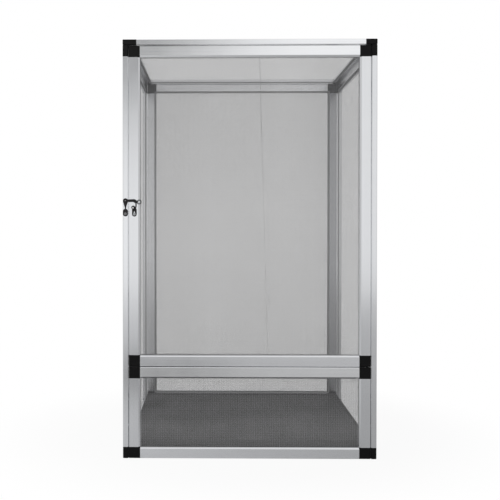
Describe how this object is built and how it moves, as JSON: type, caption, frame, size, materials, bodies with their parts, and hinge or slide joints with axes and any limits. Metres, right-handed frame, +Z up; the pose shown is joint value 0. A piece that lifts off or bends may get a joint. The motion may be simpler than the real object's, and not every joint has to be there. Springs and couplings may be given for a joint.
{
  "type": "mesh reptile cage",
  "caption": "Tall framed mesh cage for reptiles with a hinged front door, a fixed lower front panel, a black floor panel and a swing-hook latch.",
  "frame": {"origin": "on the ground under the middle of the box that holds the cage and its latch", "axes": "+Z up, -Y out of the front door, +X to the right of someone who faces the door"},
  "size_m": [0.46, 0.466, 0.76],
  "materials": {
    "rail_aluminium": "satin anodised extrusion",
    "corner_plastic": "moulded black plastic",
    "wire_mesh": "fine woven wire",
    "spline_rubber": "extruded grey rubber",
    "seal_rubber": "black foam rubber strip",
    "floor_plastic": "grained black sheet",
    "latch_metal": "dark nickel plate",
    "fastener_steel": "zinc-plated steel"
  },
  "bodies": {
    "cage": {"left_front_stile": "rail_aluminium", "left_rear_stile": "rail_aluminium", "left_top_rail": "rail_aluminium", "left_bottom_rail": "rail_aluminium", "left_corner_blocks": "corner_plastic", "left_mesh": "wire_mesh", "left_spline": "spline_rubber", "right_front_stile": "rail_aluminium", "right_rear_stile": "rail_aluminium", "right_top_rail": "rail_aluminium", "right_bottom_rail": "rail_aluminium", "right_corner_blocks": "corner_plastic", "right_mesh": "wire_mesh", "right_spline": "spline_rubber", "back_left_stile": "rail_aluminium", "back_right_stile": "rail_aluminium", "back_top_rail": "rail_aluminium", "back_bottom_rail": "rail_aluminium", "back_corner_blocks": "corner_plastic", "back_mesh": "wire_mesh", "back_spline": "spline_rubber", "top_left_rail": "rail_aluminium", "top_right_rail": "rail_aluminium", "top_front_rail": "rail_aluminium", "top_rear_rail": "rail_aluminium", "top_corner_blocks": "corner_plastic", "top_mesh": "wire_mesh", "top_spline": "spline_rubber", "lower_left_stile": "rail_aluminium", "lower_right_stile": "rail_aluminium", "lower_top_rail": "rail_aluminium", "lower_bottom_rail": "rail_aluminium", "lower_corner_blocks": "corner_plastic", "lower_mesh": "wire_mesh", "lower_spline": "spline_rubber", "base_left_rail": "rail_aluminium", "base_right_rail": "rail_aluminium", "base_front_rail": "rail_aluminium", "base_rear_rail": "rail_aluminium", "base_corner_blocks": "corner_plastic", "floor_panel": "floor_plastic", "lower_hinge_pin": "fastener_steel", "upper_hinge_pin": "fastener_steel", "latch_keeper": "latch_metal", "keeper_screw": "fastener_steel", "side_panel_screws": "fastener_steel", "top_panel_screws": "fastener_steel"},
    "door": {"door_left_stile": "rail_aluminium", "door_right_stile": "rail_aluminium", "door_top_rail": "rail_aluminium", "door_bottom_rail": "rail_aluminium", "door_corner_blocks": "corner_plastic", "door_mesh": "wire_mesh", "door_spline": "spline_rubber", "door_seal": "seal_rubber", "hook_plate": "latch_metal", "hook_plate_screw": "fastener_steel", "hook_rivet": "latch_metal"},
    "hook": {"latch_hook": "latch_metal"}
  },
  "joints": [
    {"name": "door_hinge", "type": "hinge", "parent": "cage", "child": "door", "pos_m": [0.2132, -0.22397, 0.45], "axis": [0, 0, 1], "range_deg": [0, 115]},
    {"name": "hook_pivot", "type": "hinge", "parent": "door", "child": "hook", "pos_m": [-0.2108, -0.22967, 0.456], "axis": [0, 1, 0], "range_deg": [0, 80]}
  ]
}
